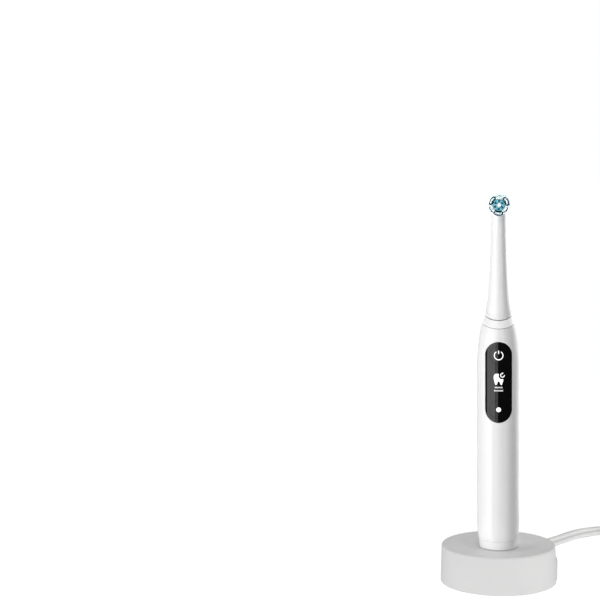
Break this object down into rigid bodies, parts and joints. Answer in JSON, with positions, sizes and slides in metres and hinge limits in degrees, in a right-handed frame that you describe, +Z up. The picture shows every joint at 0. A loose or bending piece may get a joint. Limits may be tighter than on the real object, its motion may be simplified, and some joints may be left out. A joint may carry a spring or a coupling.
{
  "type": "electric toothbrush on charger",
  "caption": "Slim electric toothbrush with a round oscillating brush head and a dark touch panel, standing on a low round induction charger with a flat mains lead and plug.",
  "frame": {"origin": "brush axis at the charger's underside", "axes": "+Z up along the brush, the bristles and the panel face -Y, +X to the right seen from the front"},
  "size_m": [0.2211, 0.1832, 0.2541],
  "materials": {
    "charger_white": "fine satin moulded white plastic",
    "handle_white": "semi-gloss moulded white plastic",
    "brush_white": "smooth semi-gloss white plastic",
    "panel_black": "polished black plastic",
    "light_diffuser": "milky translucent plastic",
    "copper": "enamelled copper wire",
    "ferrite": "sintered ferrite",
    "magnet": "nickel plated magnet",
    "steel": "drawn steel",
    "battery_wrap": "shrink wrapped cell",
    "board_green": "solder resist",
    "chip_black": "moulded component bodies",
    "chassis_grey": "moulded grey plastic",
    "display_glass": "dark display glass",
    "seal_rubber": "soft black rubber",
    "cord_grey": "soft pale grey cord sheath",
    "plug_grey": "moulded pale grey plastic",
    "tie_grey": "plastic tie",
    "pin_metal": "nickel plated pins with dark sleeves",
    "bronze": "sintered bronze",
    "carrier_cyan": "pale blue moulded plastic",
    "bristle_teal": "dark teal nylon bristles",
    "bristle_white": "white nylon bristles",
    "bristle_cyan": "pale cyan nylon bristles",
    "bristle_navy": "dark blue nylon bristles",
    "bristle_blue": "blue nylon bristles"
  },
  "bodies": {
    "charger": {"charger_housing": "charger_white", "charger_base_plate": "charger_white", "charger_bottom_cover": "charger_white", "charger_coil": "copper", "charger_core": "ferrite", "charger_magnet": "magnet", "charger_board": "board_green", "charger_board_parts": "chip_black", "charger_screws": "steel", "cord_clamp": "charger_white", "cable_bush": "seal_rubber", "power_cord": "cord_grey", "power_cord_coil": "cord_grey", "power_cord_tail": "cord_grey", "cord_tie": "tie_grey", "plug_body": "plug_grey", "plug_relief": "cord_grey", "plug_pins": "pin_metal"},
    "handle": {"handle_shell": "handle_white", "bottom_cap": "handle_white", "bottom_seal": "seal_rubber", "receiver_coil": "copper", "receiver_core": "ferrite", "handle_magnet": "magnet", "chassis": "chassis_grey", "battery": "battery_wrap", "main_board": "board_green", "main_board_parts": "chip_black", "board_switches": "chip_black", "display_module": "display_glass", "face_panel": "panel_black", "motor_can": "steel", "motor_caps": "steel", "stator_coil": "copper", "lower_spring": "steel", "upper_spring": "steel", "drive_nose": "handle_white", "shaft_bush": "bronze", "shaft_seal": "seal_rubber", "light_ring": "light_diffuser", "light_board": "board_green"},
    "power_key": {"power_button": "panel_black"},
    "mode_key": {"mode_button": "panel_black"},
    "drive": {"drive_shaft": "steel", "mover_magnet": "magnet"},
    "brush_head": {"brush_neck": "brush_white", "brush_collar": "brush_white", "carrier_pin": "steel"},
    "rod": {"push_rod": "steel", "rod_coupler": "chassis_grey"},
    "bristles": {"bristle_carrier": "carrier_cyan", "loop_tufts": "bristle_teal", "loop_fill_tufts": "bristle_white", "rim_tufts": "bristle_cyan", "inner_dark_tufts": "bristle_navy", "inner_blue_tufts": "bristle_blue", "centre_tuft": "bristle_white"}
  },
  "joints": [
    {"name": "handle_lift", "type": "slide", "parent": "charger", "child": "handle", "axis": [0, 0, 1], "range_m": [0, 0.06]},
    {"name": "head_pull", "type": "slide", "parent": "handle", "child": "brush_head", "axis": [0, 0, 1], "range_m": [0, 0.045]},
    {"name": "power_press", "type": "slide", "parent": "handle", "child": "power_key", "axis": [0, 1, 0], "range_m": [0, 0.0005], "stiffness_N_per_m": 2000, "springref_m": -0.0002},
    {"name": "mode_press", "type": "slide", "parent": "handle", "child": "mode_key", "axis": [0, 1, 0], "range_m": [0, 0.0005], "stiffness_N_per_m": 2000, "springref_m": -0.0002},
    {"name": "drive_stroke", "type": "slide", "parent": "handle", "child": "drive", "axis": [0, 0, 1], "range_m": [-0.0008, 0.0008], "stiffness_N_per_m": 3000, "deforming": ["lower_spring", "upper_spring"]},
    {"name": "rod_stroke", "type": "slide", "parent": "brush_head", "child": "rod", "axis": [0, 0, 1], "range_m": [-0.0008, 0.0008]},
    {"name": "bristle_swing", "type": "hinge", "parent": "brush_head", "child": "bristles", "pos_m": [0, -0.006, 0.2471], "axis": [0, -1, 0], "range_deg": [-15.4, 15.4]}
  ],
  "couplings": [
    {"joint": "rod_stroke", "follows": "drive_stroke", "ratio": 1},
    {"joint": "bristle_swing", "follows": "drive_stroke", "rad_per_m": 333.33}
  ]
}
